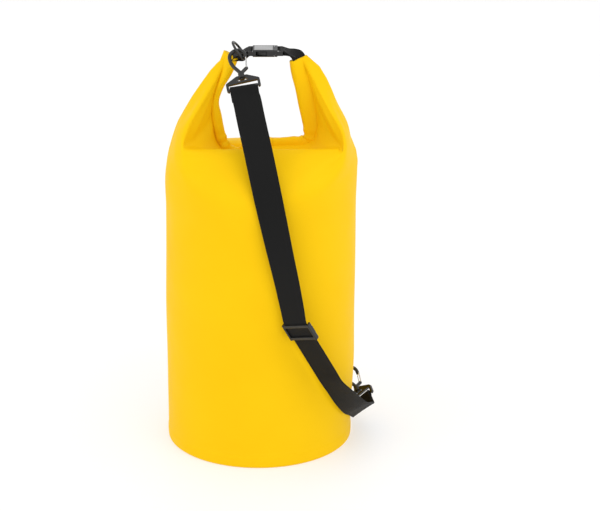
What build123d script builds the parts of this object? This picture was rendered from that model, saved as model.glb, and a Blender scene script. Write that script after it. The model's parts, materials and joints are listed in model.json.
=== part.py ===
from build123d import *
import math
import os

# Roll-top dry bag, about 25 litres, with a detachable shoulder strap.
# Millimetres. Origin: centre of the base, on the ground. +Z is up, +X is to the right
# and -Y is the front, where the shoulder strap hangs.

os.makedirs("parts", exist_ok=True)

# ---- bag body ------------------------------------------------------------------------
BODY_RADIUS = 130.0
WALL = 0.9
TUBE_TOP = 396.0          # height where the round tube starts to flatten
RIM_HEIGHT = 440.0        # height of the front and back creases
RIM_CENTRE_X = 9.0
RIM_HALF_LENGTH = 111.0
RIM_HALF_DEPTH = 62.0
VALLEY_HEIGHT = 411.0     # floor of the fold between the two creases
BASE_THICKNESS = 2.0
LAP_HEIGHT = 18.0         # weld lap between the tube and its base
SEAM_WIDTH = 25.0
GAP = 0.05                # clearance between parts that touch

# ---- rolled mouth --------------------------------------------------------------------
ROLL_WIDTH = 27.0
ROLL_THICKNESS = 13.0
SADDLE_HALF_LENGTH = 38.0
LEFT_ARM_FOOT = Vector(-58, 0, 447)
LEFT_ARM_TIP = Vector(-45, 0, 547)
RIGHT_ARM_FOOT = Vector(77, 0, 456)
RIGHT_ARM_TIP = Vector(59.5, 0, 545)
EAR_THICKNESS = 5.0
STIFFENER_WIDTH = 18.0
STIFFENER_THICKNESS = 0.8

# ---- side-release buckle for 25 mm webbing -------------------------------------------
TAB_WIDTH = 25.0
BUCKLE_HEIGHT = 559.0
BUCKLE_WIDTH = 29.0
BUCKLE_THICKNESS = 9.6
BUCKLE_WALL = 1.5
SOCKET_BAR_X = -10.2
SOCKET_FACE_X = -6.0      # left end of the hollow socket body
MOUTH_X = 23.0            # open end of the socket
PLUG_BAR_X = 32.6
BAR_RADIUS = 2.0
LOOP_RADIUS = 3.4         # outside of the webbing wrapped round a bar
PRONG_ROOT_X = 21.0
PRONG_ROOT_Y = 8.2
PRONG_WINDOW = (-2.0, 13.0)

# ---- D-rings -------------------------------------------------------------------------
RING_WIRE = 1.7
RING_HALF_WIDTH = 16.5
RING_DEPTH = 23.0
TOP_RING_BAR = Vector(-19.2, 0, 552.5)
TOP_RING_LEAN = Vector(-0.60, 0, 0.80)
LOW_RING_ANGLE = 36.2     # round the bag, from +X towards +Y
LOW_RING_HEIGHT = 64.0
LOW_RING_REACH = 134.8    # distance of its bar from the bag's axis
LOW_RING_LEAN = Vector(0.886, -0.463, 0)

# ---- swivel snap hooks, measured from the centre of the eye --------------------------
EYE_RADIUS = 10.8         # centre line of the arch
HOOK_ROD = 2.5
NOSE_DROP = 4.0
STEM_TOP = 26.5
COLLAR_END = 30.5
BOSS_CENTRE = 32.5
BOSS_RADIUS = 5.0
BOSS_END = 34.5
HEAD_END = 36.5
PIVOT = (8.6, -20.0)      # gate pivot, across and along the hook
GATE_WIRE = 0.75
GATE_HALF_WIDTH = 3.65
WINDOW_END = 38.5
SHOULDER_DROP = 41.0      # where the frame reaches its full width
SLOT_TOP = 41.5
BAR_DROP = 49.0
FRAME_CORNER = (19.9, 3.2)  # centre, out from the middle, and radius of the rounded corners
SLOT_WIDTH = 39.2
FRAME_HALF_THICKNESS = 1.9
TOP_EYE = Vector(-26.4, -17.0, 555.2)
TOP_HOOK_DOWN = Vector(0.19, -0.73, -0.66)
TOP_HOOK_ACROSS = Vector(0.975, 0.05, 0.194)
LOW_EYE = Vector(130.3, 66.4, 61.3)
LOW_HOOK_DOWN = Vector(0.31, -0.80, -0.51)
LOW_HOOK_ACROSS = Vector(0.92, 0.366, -0.04)
LOW_FRAME_ACROSS = Vector(0.73, -0.32, 0.59)

# ---- shoulder strap ------------------------------------------------------------------
STRAP_WIDTH = 38.0
STRAP_THICKNESS = 1.8
STRAIGHT_TOP = Vector(51.2, -148, 222.4)
STRAIGHT_END = Vector(100.6, -122, 126.4)
STRAIGHT_ACROSS = Vector(0.788, -0.562, 0.253)
SLIDER_DROP = 15.0        # from the top of the straight run to the slider's centre
SLIDER_LENGTH = 27.0
SLIDER_WIDTH = 45.0
SLIDER_RAIL = 3.0


def save(name, shape):
    export_step(shape, f"parts/{name}.step")


def frame_at(origin, across, along):
    """Place local X on `across` and local Z on `along`, squared up to `along`."""
    z = Vector(along).normalized()
    x = Vector(across) - z * Vector(across).dot(z)
    return Plane(origin=origin, x_dir=x, z_dir=z)


def at_angle(radius, degrees, height):
    a = math.radians(degrees)
    return Vector(radius * math.cos(a), radius * math.sin(a), height)


def y_rod(x, z, radius, length):
    """A round bar along Y, centred on the X-Z plane."""
    return Pos(x, 0, z) * Rot(90, 0, 0) * Cylinder(radius, length)


def xz_plate(points, thickness):
    """A flat plate in the X-Z plane."""
    outline = Plane.XZ * Polygon(*points, align=None)
    return extrude(outline, thickness / 2, both=True)


# ---- bag body ------------------------------------------------------------------------
def rim_section(inset, height):
    half = RIM_HALF_LENGTH - inset
    depth = RIM_HALF_DEPTH - inset
    shape = RectangleRounded(2 * half, 2 * depth, min(depth - 1, 40 - inset))
    return Pos(RIM_CENTRE_X, 0, height) * shape


def closed_bag(inset):
    """The bag's solid form: a round tube that flattens to the rim."""
    radius = BODY_RADIUS - inset
    tube = Pos(0, 0, BASE_THICKNESS + GAP) * Cylinder(
        radius, TUBE_TOP - BASE_THICKNESS - GAP, align=(Align.CENTER, Align.CENTER, Align.MIN)
    )
    shoulder = loft([Pos(0, 0, TUBE_TOP) * Circle(radius), rim_section(inset, RIM_HEIGHT)])
    return tube + shoulder


def bag_tube():
    outside = closed_bag(0)
    hollow = closed_bag(WALL)
    floor = Pos(0, 0, VALLEY_HEIGHT) * Box(
        3 * BODY_RADIUS, 3 * BODY_RADIUS, WALL, align=(Align.CENTER, Align.CENTER, Align.MAX)
    )
    return outside - hollow + (floor & outside)


def base_disc():
    return Cylinder(BODY_RADIUS - 0.1, BASE_THICKNESS, align=(Align.CENTER, Align.CENTER, Align.MIN))


def base_weld_lap():
    outer = BODY_RADIUS - WALL - GAP
    low = BASE_THICKNESS + GAP
    ring = Circle(outer) - Circle(outer - 1.2)
    return Pos(0, 0, low) * extrude(ring, LAP_HEIGHT)


def wall_patch(inner, outer, centre_angle, width, low, high):
    """A patch that lies on the round wall, `width` wide round the bag."""
    ring = extrude(Circle(outer) - Circle(inner), high - low)
    slab = Pos(outer, 0, (high - low) / 2) * Box(outer, width, high - low)
    return Rot(0, 0, centre_angle) * Pos(0, 0, low) * (ring & slab)


def back_seam_tape():
    inner = BODY_RADIUS + GAP
    return wall_patch(inner, inner + 0.8, 90, SEAM_WIDTH, 6, TUBE_TOP - 4)


# ---- rolled mouth --------------------------------------------------------------------
def stiffener(place, length):
    return place * Box(STIFFENER_WIDTH, STIFFENER_THICKNESS, length)


def roll_and_stiffener(middle, across, along, length):
    """A length of the rolled mouth, and the stiffener strip inside it."""
    place = frame_at(middle, across, along).location
    section = RectangleRounded(ROLL_WIDTH, ROLL_THICKNESS, ROLL_THICKNESS * 0.45)
    solid = extrude(section, length / 2, both=True)
    slot = Box(STIFFENER_WIDTH + 0.4, STIFFENER_THICKNESS + 0.4, length - 4)
    return place * (solid - slot), stiffener(place, length - 6)


def saddle():
    middle = Vector(0, 0, VALLEY_HEIGHT + ROLL_WIDTH / 2 + GAP)
    return roll_and_stiffener(middle, (0, 0, 1), (1, 0, 0), 2 * SADDLE_HALF_LENGTH)


def left_arm():
    run = LEFT_ARM_TIP - LEFT_ARM_FOOT
    return roll_and_stiffener(LEFT_ARM_FOOT + run * 0.5, (0, 1, 0), run, run.length)


def right_arm():
    run = RIGHT_ARM_TIP - RIGHT_ARM_FOOT
    return roll_and_stiffener(RIGHT_ARM_FOOT + run * 0.5, (1, 0, 0), run, run.length)


def left_ear():
    return xz_plate(
        [(-67, 442), (-112, 442), (-99, 479), (-77, 513), (-56, 542), (-54, 542), (-66.5, 447)],
        EAR_THICKNESS,
    )


def right_ear():
    return xz_plate(
        [(93, 442), (123, 442), (111, 479), (97, 513), (79, 542), (75.5, 542), (92.5, 456)],
        EAR_THICKNESS,
    )


def left_bend():
    """The fold where the roll turns up into the left arm."""
    low = VALLEY_HEIGHT + GAP
    return xz_plate(
        [(-38.2, low), (-38.2, 438), (-50.5, 445.5), (-64.8, 447.3), (-66, 441), (-58, low)],
        ROLL_THICKNESS,
    )


def right_bend():
    """The fold where the roll turns up into the right arm; it flexes when the arm opens."""
    low = VALLEY_HEIGHT + GAP
    return xz_plate(
        [(38.2, low), (38.2, 438), (60, 447), (63, 452.7), (90, 457.8), (91, 440), (78, low)],
        ROLL_THICKNESS,
    )


# ---- webbing tabs --------------------------------------------------------------------
def band(points, thickness):
    """A strip of webbing seen on edge, `TAB_WIDTH` wide along Y."""
    line = Polyline(*[(x, 0, z) for x, z in points])
    start = line @ 0
    along = line % 0
    section = Plane(origin=start, x_dir=(0, 1, 0), z_dir=along) * Rectangle(TAB_WIDTH, thickness)
    return sweep(section, line, transition=Transition.RIGHT)


def left_tab():
    rise = [(-37.5, 549.5), (TOP_RING_BAR.X, TOP_RING_BAR.Z), (SOCKET_BAR_X, BUCKLE_HEIGHT)]
    tab = band(rise, 2.4)
    tab += y_rod(TOP_RING_BAR.X, TOP_RING_BAR.Z, LOOP_RADIUS, TAB_WIDTH)
    tab += y_rod(SOCKET_BAR_X, BUCKLE_HEIGHT, LOOP_RADIUS, TAB_WIDTH)
    tab -= y_rod(TOP_RING_BAR.X, TOP_RING_BAR.Z, RING_WIRE + GAP, 2 * TAB_WIDTH)
    return tab - y_rod(SOCKET_BAR_X, BUCKLE_HEIGHT, BAR_RADIUS + GAP, 2 * TAB_WIDTH)


def right_tab():
    tab = band([(PLUG_BAR_X, BUCKLE_HEIGHT), (46, 555.5), (60, 549.2)], 2.4)
    tab += y_rod(PLUG_BAR_X, BUCKLE_HEIGHT, LOOP_RADIUS, TAB_WIDTH)
    return tab - y_rod(PLUG_BAR_X, BUCKLE_HEIGHT, BAR_RADIUS + GAP, 2 * TAB_WIDTH)


# ---- buckle --------------------------------------------------------------------------
def slab(x0, x1, half_width, half_thickness):
    middle = Pos((x0 + x1) / 2, 0, BUCKLE_HEIGHT)
    return middle * Box(x1 - x0, 2 * half_width, 2 * half_thickness)


def socket():
    half_width = BUCKLE_WIDTH / 2
    half_height = BUCKLE_THICKNESS / 2
    body = slab(SOCKET_FACE_X, MOUTH_X, half_width, half_height)
    body = fillet(body.edges().filter_by(Axis.X), 2.0)
    body -= slab(SOCKET_FACE_X + 2, MOUTH_X + 1, half_width - BUCKLE_WALL, half_height - BUCKLE_WALL)
    body -= slab(*PRONG_WINDOW, half_width + 1, half_height - BUCKLE_WALL)
    body -= Pos(0, 0, half_height - 0.8) * slab(-4, 21, 11.2, 1)
    arms = slab(SOCKET_BAR_X - 2, SOCKET_FACE_X + 0.5, 14.0, 3.2)
    arms -= slab(SOCKET_BAR_X - 5, SOCKET_FACE_X, 12.7, 4)
    bar = y_rod(SOCKET_BAR_X, BUCKLE_HEIGHT, BAR_RADIUS, 26)
    return body + arms + bar


def socket_face_plate():
    top = BUCKLE_THICKNESS / 2
    return Pos(0, 0, top - 0.35) * slab(-3.9, 20.9, 11.1, 0.4)


def plug():
    half_width = BUCKLE_WIDTH / 2
    base = slab(MOUTH_X + 0.2, 27.2, half_width, BUCKLE_THICKNESS / 2 - 0.2)
    base = fillet(base.edges().filter_by(Axis.X), 1.8)
    arms = slab(27, PLUG_BAR_X + 2, 14.0, 3.2)
    arms -= slab(26.8, PLUG_BAR_X + 5, 12.7, 4)
    bar = y_rod(PLUG_BAR_X, BUCKLE_HEIGHT, BAR_RADIUS, 26)
    tongue = slab(2, MOUTH_X + 1, 3.0, 1.8)
    shelf = slab(19.0, MOUTH_X + 1, 10.6, 2.4)
    shelf -= prong_knuckle(1, 1.75, 8)
    shelf -= prong_knuckle(-1, 1.75, 8)
    relief = slab(15, PRONG_ROOT_X, 12, 4) - slab(15, PRONG_ROOT_X, PRONG_ROOT_Y - 2.2, 4)
    return base + arms + bar + tongue + (shelf - relief)


def prong_knuckle(side, radius, length):
    return Pos(PRONG_ROOT_X, side * PRONG_ROOT_Y, BUCKLE_HEIGHT) * Cylinder(radius, length)


def prong(side):
    """A spring prong: round root, thin arm, barbed head in the socket's window."""
    arm = Polygon(
        (PRONG_ROOT_X, PRONG_ROOT_Y - 1.0),
        (PRONG_ROOT_X, PRONG_ROOT_Y + 1.0),
        (12.5, 10.0),
        (12.5, 13.3),
        (9.0, 14.0),
        (0.0, 10.5),
        (-1.5, 8.5),
        (0.5, 7.8),
        align=None,
    )
    solid = Pos(0, 0, BUCKLE_HEIGHT) * extrude(arm, 2.2, both=True)
    if side < 0:
        solid = solid.mirror(Plane.XZ)
    return solid + prong_knuckle(side, 1.7, 4.4)


# ---- D-rings -------------------------------------------------------------------------
def d_ring(bar_middle, bar_along, lean):
    """Local X runs along the straight bar and local Z towards the top of the D."""
    w = RING_HALF_WIDTH
    side = RING_DEPTH - w
    rise = Line((-w, 0, 0), (-w, 0, side))
    arch = ThreePointArc((-w, 0, side), (0, 0, RING_DEPTH), (w, 0, side))
    fall = Line((w, 0, side), (w, 0, 0))
    bow = sweep(Pos(-w, 0, 0) * Circle(RING_WIRE), Wire([rise, arch, fall]))
    ring = bow + Rot(0, 90, 0) * Cylinder(RING_WIRE, 2 * w)
    for x in (-w, w):
        ring += Pos(x, 0, 0) * Sphere(RING_WIRE)
    return frame_at(bar_middle, bar_along, lean).location * ring


def top_d_ring():
    return d_ring(TOP_RING_BAR, (0, 1, 0), TOP_RING_LEAN)


def low_ring_bar():
    return at_angle(LOW_RING_REACH, LOW_RING_ANGLE, LOW_RING_HEIGHT)


def bottom_d_ring():
    return d_ring(low_ring_bar(), (0, 0, 1), LOW_RING_LEAN)


def anchor_patch():
    inner = BODY_RADIUS + GAP
    return wall_patch(inner, inner + 1.2, LOW_RING_ANGLE + 10, 74, 32, 96)


def anchor_tab():
    """Webbing sewn flat on the patch and looped round the lower D-ring's bar."""
    low = LOW_RING_HEIGHT - TAB_WIDTH / 2
    high = LOW_RING_HEIGHT + TAB_WIDTH / 2
    inner = BODY_RADIUS + 1.4
    flat = wall_patch(inner, inner + 2.2, LOW_RING_ANGLE + 9, 42, low, high)
    bar = Pos(*low_ring_bar())
    tab = flat + bar * Cylinder(RING_WIRE + 1.6, TAB_WIDTH)
    return tab - bar * Cylinder(RING_WIRE + GAP, 2 * TAB_WIDTH)


# ---- swivel snap hook ----------------------------------------------------------------
def hook_body():
    """Local X is across, towards the gate; local Z points from the stem to the arch."""
    r = EYE_RADIUS
    nose = Line((r, 0, -NOSE_DROP), (r, 0, 0))
    arch = ThreePointArc((r, 0, 0), (0, 0, r), (-r, 0, 0))
    spine = Spline((-r, 0, 0), (-8.2, 0, -13), (0, 0, -STEM_TOP), tangents=[(0, 0, -1), (0.5, 0, -1)])
    start = Plane(origin=(r, 0, -NOSE_DROP), z_dir=(0, 0, 1))
    body = sweep(start * Circle(HOOK_ROD), Wire([nose, arch, spine]))
    lug = Line((0, 0, -STEM_TOP), (PIVOT[0], 0, PIVOT[1]))
    body += sweep(Plane(origin=lug @ 0, z_dir=lug % 0) * Circle(HOOK_ROD), lug)
    body += Pos(PIVOT[0], 0, PIVOT[1]) * Sphere(HOOK_ROD)
    body += Pos(0, 0, -STEM_TOP) * Sphere(HOOK_ROD + 0.6)
    body += Pos(0, 0, -(STEM_TOP + COLLAR_END) / 2) * Cylinder(4.2, COLLAR_END - STEM_TOP)
    body += Pos(0, 0, -(COLLAR_END + HEAD_END) / 2) * Cylinder(2.0, HEAD_END - COLLAR_END)
    body += Pos(0, 0, -(BOSS_END + 0.1 + HEAD_END) / 2) * Cylinder(3.2, HEAD_END - BOSS_END - 0.1)
    return body - Pos(PIVOT[0], 0, PIVOT[1]) * Rot(90, 0, 0) * Cylinder(GATE_WIRE + GAP, 12)


def gate():
    """A sprung wire gate: two legs, a closed end and a pivot through the lug."""
    x, z = PIVOT
    end = Vector(EYE_RADIUS, 0, -NOSE_DROP - GATE_WIRE - 0.4)
    wires = Pos(x, 0, z) * Rot(90, 0, 0) * Cylinder(GATE_WIRE, 2 * GATE_HALF_WIDTH)
    wires += Pos(end.X, 0, end.Z) * Rot(90, 0, 0) * Cylinder(GATE_WIRE, 2 * GATE_HALF_WIDTH)
    for y in (-GATE_HALF_WIDTH, GATE_HALF_WIDTH):
        leg = Line((x, y, z), (end.X, y, end.Z))
        wires += sweep(Plane(origin=leg @ 0, z_dir=leg % 0) * Circle(GATE_WIRE), leg)
        wires += Pos(x, y, z) * Sphere(GATE_WIRE)
        wires += Pos(end.X, y, end.Z) * Sphere(GATE_WIRE)
    return wires


def strap_frame():
    """The swivel frame: boss, triangular window, webbing slot and round bar."""
    out, corner = FRAME_CORNER
    outline = Sketch() + Pos(0, -BOSS_CENTRE) * Circle(BOSS_RADIUS)
    for x in (-out, out):
        for drop in (SHOULDER_DROP, BAR_DROP):
            outline += Pos(x, -drop) * Circle(corner)
    flat = make_hull(outline.edges())
    window = Polygon((-4, -BOSS_END), (4, -BOSS_END), (8, -WINDOW_END), (-8, -WINDOW_END), align=None)
    slot_bottom = BAR_DROP + 2 * corner
    slot = Pos(0, -(SLOT_TOP + slot_bottom) / 2) * Rectangle(SLOT_WIDTH, slot_bottom - SLOT_TOP)
    plate = extrude(Plane.XZ * (flat - window - slot), FRAME_HALF_THICKNESS, both=True)
    plate -= Pos(0, 0, -20) * Box(30, 10, 2 * (COLLAR_END + 0.1 - 20))
    boss_length = BOSS_END - COLLAR_END - 0.1
    plate += Pos(0, 0, -(COLLAR_END + 0.1 + BOSS_END) / 2) * Cylinder(BOSS_RADIUS, boss_length)
    plate += Pos(0, 0, -BAR_DROP) * Rot(0, 90, 0) * Cylinder(FRAME_HALF_THICKNESS, 2 * out)
    return plate - Pos(0, 0, -BOSS_CENTRE) * Cylinder(2.0 + GAP, 2 * BOSS_RADIUS)


def hook_frame(eye, across, down):
    return frame_at(eye, across, Vector(down) * -1).location


def top_hook_place():
    return hook_frame(TOP_EYE, TOP_HOOK_ACROSS, TOP_HOOK_DOWN)


def low_hook_place():
    return hook_frame(LOW_EYE, LOW_HOOK_ACROSS, LOW_HOOK_DOWN)


def low_frame_place():
    return hook_frame(LOW_EYE, LOW_FRAME_ACROSS, LOW_HOOK_DOWN)


# ---- shoulder strap ------------------------------------------------------------------
def bar_centre(eye, down):
    return eye + Vector(down).normalized() * BAR_DROP


def strap_run():
    """Centre points of the strap from the top bar to the lower bar, with its width direction."""
    top = bar_centre(TOP_EYE, TOP_HOOK_DOWN)
    low = bar_centre(LOW_EYE, LOW_HOOK_DOWN)
    lead = Vector(LOW_HOOK_DOWN).normalized() * 12
    top_across = frame_at(top, TOP_HOOK_ACROSS, TOP_HOOK_DOWN).x_dir
    low_across = frame_at(low, LOW_FRAME_ACROSS, LOW_HOOK_DOWN).x_dir
    return [
        (top, top_across),
        (Vector(-12.4, -66, 506.5), TOP_HOOK_ACROSS),
        (Vector(-7.3, -82, 486.5), TOP_HOOK_ACROSS),
        (Vector(1.6, -104, 452.5), TOP_HOOK_ACROSS),
        (Vector(8.1, -122, 427), Vector(0.98, 0.0, 0.2)),
        (Vector(14.7, -134, 398), Vector(0.97, -0.08, 0.2)),
        (Vector(30.2, -147, 326.7), Vector(0.93, -0.34, 0.20)),
        (Vector(40.6, -148, 277.6), Vector(0.87, -0.45, 0.21)),
        (Vector(46.9, -148.5, 244.9), Vector(0.83, -0.51, 0.23)),
        (STRAIGHT_TOP, STRAIGHT_ACROSS),
        (STRAIGHT_END, STRAIGHT_ACROSS),
        (Vector(113.1, -111, 106.8), Vector(0.85, -0.42, 0.31)),
        (Vector(124.4, -93, 85.6), Vector(0.88, -0.26, 0.40)),
        (Vector(134.9, -70, 65.7), Vector(0.87, -0.15, 0.48)),
        (Vector(142.2, -42.6, 52.2), Vector(0.82, -0.12, 0.56)),
        (Vector(146.6, -17.4, 39.6), Vector(0.78, -0.12, 0.60)),
        (Vector(148, 4, 31), Vector(0.75, -0.12, 0.64)),
        (low + lead, low_across),
        (low, low_across),
    ]


def strap_sections(run):
    sections = []
    last = len(run) - 1
    for i, (point, across) in enumerate(run):
        along = run[min(i + 1, last)][0] - run[max(i - 1, 0)][0]
        if point in (STRAIGHT_TOP, STRAIGHT_END):
            along = STRAIGHT_END - STRAIGHT_TOP
        sections.append(frame_at(point, across, along) * Rectangle(STRAP_WIDTH, STRAP_THICKNESS))
    return sections


def shoulder_strap():
    run = strap_run()
    strap = loft(strap_sections(run), ruled=True)
    for point, across in (run[0], run[-1]):
        bar = Plane(origin=point, z_dir=across).location
        strap += bar * Cylinder(FRAME_HALF_THICKNESS + STRAP_THICKNESS, STRAP_WIDTH)
        strap -= bar * Cylinder(FRAME_HALF_THICKNESS + GAP, 2 * STRAP_WIDTH)
    return strap


def slider_place():
    along = (STRAIGHT_END - STRAIGHT_TOP).normalized()
    return frame_at(STRAIGHT_TOP + along * SLIDER_DROP, STRAIGHT_ACROSS, along).location


def slider():
    """Tri-glide: two bars in front of the webbing and one behind it."""
    reach = SLIDER_WIDTH / 2 - SLIDER_RAIL / 2
    bar_y = STRAP_THICKNESS / 2 + 0.15 + 1.2
    body = Part()
    for x in (-reach, reach):
        rail = Pos(x, 0, 0) * Box(SLIDER_RAIL, 7.2, SLIDER_LENGTH)
        body += fillet(rail.edges().filter_by(Axis.Z), 1.4)
    for y, z in ((bar_y, -11), (-bar_y, 0), (bar_y, 11)):
        bar = Pos(0, y, z) * Box(2 * reach, 2.4, 4.6)
        body += fillet(bar.edges().filter_by(Axis.X), 0.9)
    return slider_place() * body


def slider_webbing_end():
    """The strap's free end, sewn round the slider's back bar and led down behind the strap."""
    back = -(STRAP_THICKNESS / 2 + 0.15 + 2.4 + GAP)
    fold = Pos(0, back - STRAP_THICKNESS / 2, 4) * Box(STRAP_WIDTH, STRAP_THICKNESS, 16)
    return slider_place() * fold


def build():
    save("bag_tube", bag_tube())
    save("base_disc", base_disc())
    save("base_weld_lap", base_weld_lap())
    save("back_seam_tape", back_seam_tape())
    rolls = {"middle_roll": saddle(), "left_roll_arm": left_arm(), "right_roll_arm": right_arm()}
    for name, (roll, strip) in rolls.items():
        save(name, roll)
        save(f"{name}_stiffener", strip)
    save("left_roll_bend", left_bend())
    save("right_roll_bend", right_bend())
    save("left_ear", left_ear())
    save("right_ear", right_ear())
    save("left_tab_webbing", left_tab())
    save("right_tab_webbing", right_tab())
    save("buckle_socket", socket())
    save("socket_face_plate", socket_face_plate())
    save("buckle_plug", plug())
    save("front_prong", prong(-1))
    save("back_prong", prong(1))
    save("top_d_ring", top_d_ring())
    save("bottom_d_ring", bottom_d_ring())
    save("anchor_patch", anchor_patch())
    save("anchor_tab_webbing", anchor_tab())
    save("top_hook_body", top_hook_place() * hook_body())
    save("top_hook_gate", top_hook_place() * gate())
    save("top_strap_frame", top_hook_place() * strap_frame())
    save("bottom_hook_body", low_hook_place() * hook_body())
    save("bottom_hook_gate", low_hook_place() * gate())
    save("bottom_strap_frame", low_frame_place() * strap_frame())
    save("shoulder_strap", shoulder_strap())
    save("strap_slider", slider())
    save("slider_webbing_end", slider_webbing_end())


build()
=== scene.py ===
import json
import math
import bpy
import numpy as np
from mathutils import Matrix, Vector


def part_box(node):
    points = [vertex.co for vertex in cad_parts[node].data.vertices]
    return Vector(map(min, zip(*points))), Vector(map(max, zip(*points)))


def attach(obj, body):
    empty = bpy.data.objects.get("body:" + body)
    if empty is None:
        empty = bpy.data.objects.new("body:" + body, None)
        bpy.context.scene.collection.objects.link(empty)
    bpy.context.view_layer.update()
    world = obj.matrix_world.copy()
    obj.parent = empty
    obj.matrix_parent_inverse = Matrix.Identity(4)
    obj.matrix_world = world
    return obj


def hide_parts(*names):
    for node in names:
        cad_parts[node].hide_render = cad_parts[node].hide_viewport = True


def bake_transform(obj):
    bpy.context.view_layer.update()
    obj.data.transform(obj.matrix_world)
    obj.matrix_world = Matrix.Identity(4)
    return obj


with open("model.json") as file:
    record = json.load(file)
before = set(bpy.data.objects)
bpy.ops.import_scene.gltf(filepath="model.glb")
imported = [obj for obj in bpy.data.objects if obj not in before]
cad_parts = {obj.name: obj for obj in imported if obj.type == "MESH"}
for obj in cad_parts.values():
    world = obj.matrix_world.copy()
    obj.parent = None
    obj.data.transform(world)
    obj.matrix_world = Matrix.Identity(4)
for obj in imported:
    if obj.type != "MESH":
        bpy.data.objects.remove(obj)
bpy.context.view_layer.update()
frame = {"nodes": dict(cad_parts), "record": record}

# Metres, in the frame's own axes: +Z up and -Y the front of the bag.
MM = 0.001
TUBE_LOW, TUBE_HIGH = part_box("bag_tube")
RADIUS = (TUBE_HIGH[1] - TUBE_LOW[1]) / 2
RIM = TUBE_HIGH[2]                      # height of the front and back creases
WALL = 0.9 * MM
STRAP_WIDTH = 38 * MM
TAB_WIDTH = 25 * MM
ARM_SPLIT = 20 * MM                     # x where the left and right pieces of the mouth meet
# Where cloth turns from the bag to the swinging right arm.
ARM_BEND = {"start": (75 * MM, 0, 450 * MM), "end": (75 * MM, 0, 522 * MM)}


def stand_for(piece, place, slot, *nodes):
    """Hide the CAD nodes a piece stands for, and give it its place: a body or ARM_BEND. `slot` is not used.
    """
    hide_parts(*nodes)
    if place is ARM_BEND:
        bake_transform(piece)
    else:
        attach(piece, place)


# ---- meshes --------------------------------------------------------------------------
def unit(vectors):
    vectors = np.asarray(vectors, float)
    length = np.linalg.norm(vectors, axis=-1, keepdims=True)
    return vectors / np.maximum(length, 1e-12)


def add_mesh(name, points, faces, material, normals=None, uv=None):
    mesh = bpy.data.meshes.new(name)
    mesh.from_pydata([tuple(p) for p in points], [], faces)
    mesh.materials.append(material)
    mesh.polygons.foreach_set("use_smooth", [True] * len(mesh.polygons))
    if uv is not None:
        layer = mesh.uv_layers.new(name="weave")
        for loop in mesh.loops:
            layer.data[loop.index].uv = uv[loop.vertex_index]
    if normals is not None:
        mesh.normals_split_custom_set_from_vertices([tuple(n) for n in normals])
    mesh.update()
    thing = bpy.data.objects.new(name, mesh)
    bpy.context.scene.collection.objects.link(thing)
    return thing


def grid_faces(rows, columns, closed, first=0):
    """Faces of a grid of points; closed joins the last column to the first."""
    faces = []
    for j in range(rows - 1):
        for i in range(columns if closed else columns - 1):
            k = (i + 1) % columns
            low, high = first + j * columns, first + (j + 1) * columns
            faces.append((low + i, low + k, high + k, high + i))
    return faces


def grid_normals(grid, closed):
    """Smooth outward normals of a grid of points (rows, columns, 3)."""
    if closed:
        across = np.roll(grid, -1, 1) - np.roll(grid, 1, 1)
    else:
        across = np.gradient(grid, axis=1)
    return unit(np.cross(across, np.gradient(grid, axis=0)))


def sheet(name, grid, normals, closed, thickness, material):
    """A sheet of even thickness: the grid is its outer face, and its edges are closed."""
    rows, columns = grid.shape[:2]
    count = rows * columns
    points = np.concatenate([grid.reshape(-1, 3), (grid - normals * thickness).reshape(-1, 3)])
    both = np.concatenate([normals.reshape(-1, 3), -normals.reshape(-1, 3)])
    outer = grid_faces(rows, columns, closed)
    inner = [tuple(v + count for v in reversed(face)) for face in outer]
    around = list(range(columns)) + ([0] if closed else [])
    rims = [(b, a, a + count, b + count) for a, b in zip(around, around[1:])]
    top = [(rows - 1) * columns + i for i in around]
    rims += [(a, b, b + count, a + count) for a, b in zip(top, top[1:])]
    if not closed:
        left = [j * columns for j in range(rows)]
        right = [j * columns + columns - 1 for j in range(rows)]
        rims += [(a, b, b + count, a + count) for a, b in zip(left, left[1:])]
        rims += [(b, a, a + count, b + count) for a, b in zip(right, right[1:])]
    return add_mesh(name, points, outer + inner + rims, material, both)


def smooth_path(points, count, reach=3):
    """Evenly spaced points on a smooth curve through the given ones; `reach` as in spaced()."""
    points = np.asarray(points, float)
    ends = np.concatenate([2 * points[:1] - points[1:2], points, 2 * points[-1:] - points[-2:-1]])
    fine = []
    for i in range(1, len(ends) - 2):
        a, b, c, d = ends[i - 1:i + 3]
        t = np.linspace(0, 1, 16, endpoint=False)[:, None]
        tangent_b, tangent_c = (c - a) / 2, (d - b) / 2
        fine.append((2 * t**3 - 3 * t**2 + 1) * b + (t**3 - 2 * t**2 + t) * tangent_b
                    + (3 * t**2 - 2 * t**3) * c + (t**3 - t**2) * tangent_c)
    return spaced(np.concatenate(fine + [points[-1:]]), count, reach)


def spaced(points, count, reach=3):
    """Evenly spaced points on a polyline, by the distance in the first `reach` columns."""
    steps = np.linalg.norm(np.diff(points[:, :reach], axis=0), axis=1)
    along = np.concatenate([[0], np.cumsum(steps)])
    wanted = np.linspace(0, along[-1], count)
    return np.stack([np.interp(wanted, along, column) for column in points.T], axis=-1)


def path_length(points):
    return float(np.linalg.norm(np.diff(np.array(points, float), axis=0), axis=1).sum())


def frames(path, across):
    """Width and face directions along a path, squared up to it."""
    along = unit(np.gradient(path, axis=0))
    across = across - along * (across * along).sum(1, keepdims=True)
    across = unit(across)
    return across, np.cross(along, across)


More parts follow.
